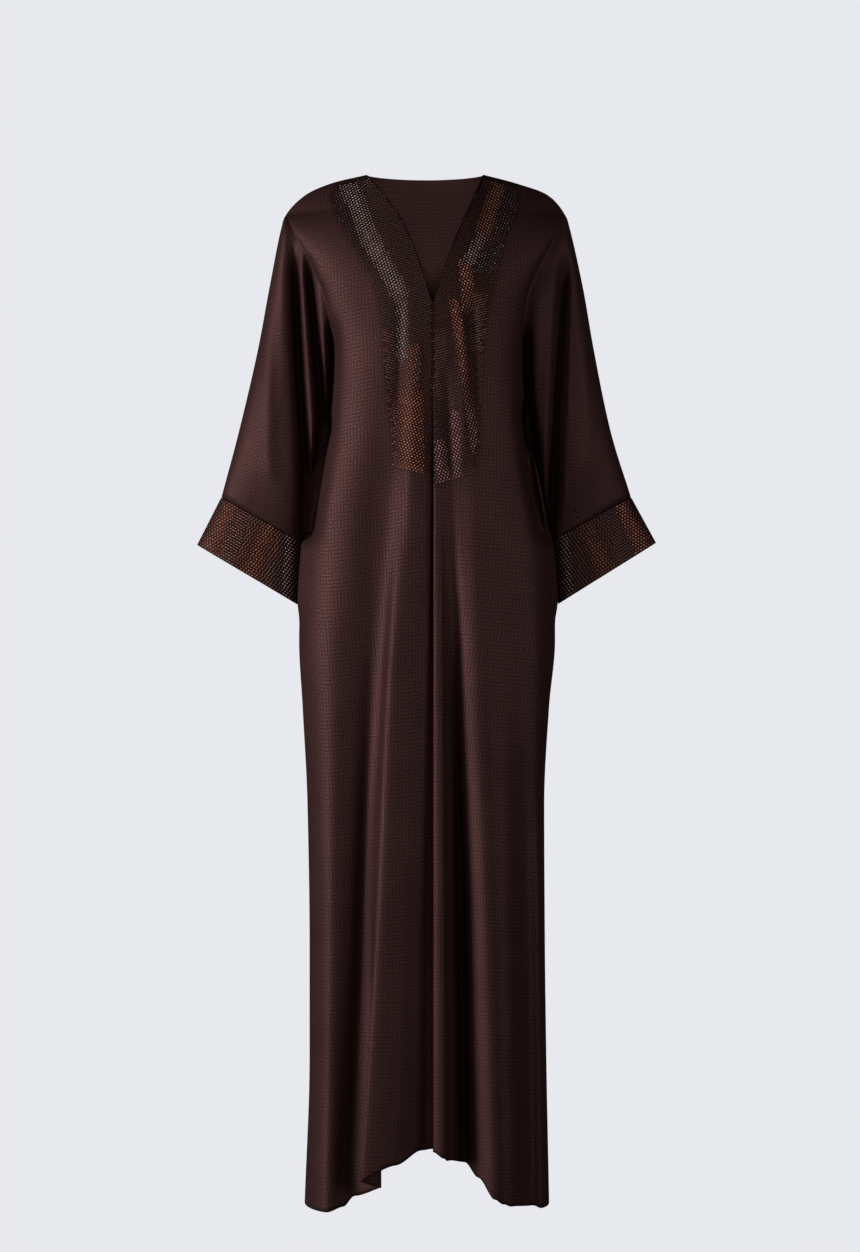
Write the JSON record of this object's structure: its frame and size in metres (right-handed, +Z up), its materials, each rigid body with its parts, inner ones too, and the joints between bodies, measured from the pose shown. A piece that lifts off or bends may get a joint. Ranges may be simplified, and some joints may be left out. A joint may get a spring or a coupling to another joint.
{
  "type": "kaftan dress",
  "caption": "Long loose kaftan dress with a deep V neck, wide three-quarter sleeves cut in one with the body, straight set-on cuffs and lengthwise folds, filled out as worn.",
  "frame": {"origin": "midway along the shoulder line at the level of the two neck points, where the wearer's shoulders hold the dress", "axes": "+Z up along the length of the dress, -Y towards the viewer of the front, +X to the viewer's right"},
  "size_m": [0.6588, 0.2569, 1.4661],
  "materials": {
    "jacquard_satin": "dark chocolate brown satin with a small tone-on-tone jacquard repeat, soft sheen",
    "cuff_satin": "the same satin under rows of small metal studs",
    "metal_studs": "small faceted copper and pewter studs, polished",
    "thread": "dark brown sewing thread"
  },
  "bodies": {
    "root": {"front_left": "jacquard_satin", "front_right": "jacquard_satin", "back": "jacquard_satin", "cuff_left": "cuff_satin", "cuff_right": "cuff_satin"}
  },
  "joints": []
}
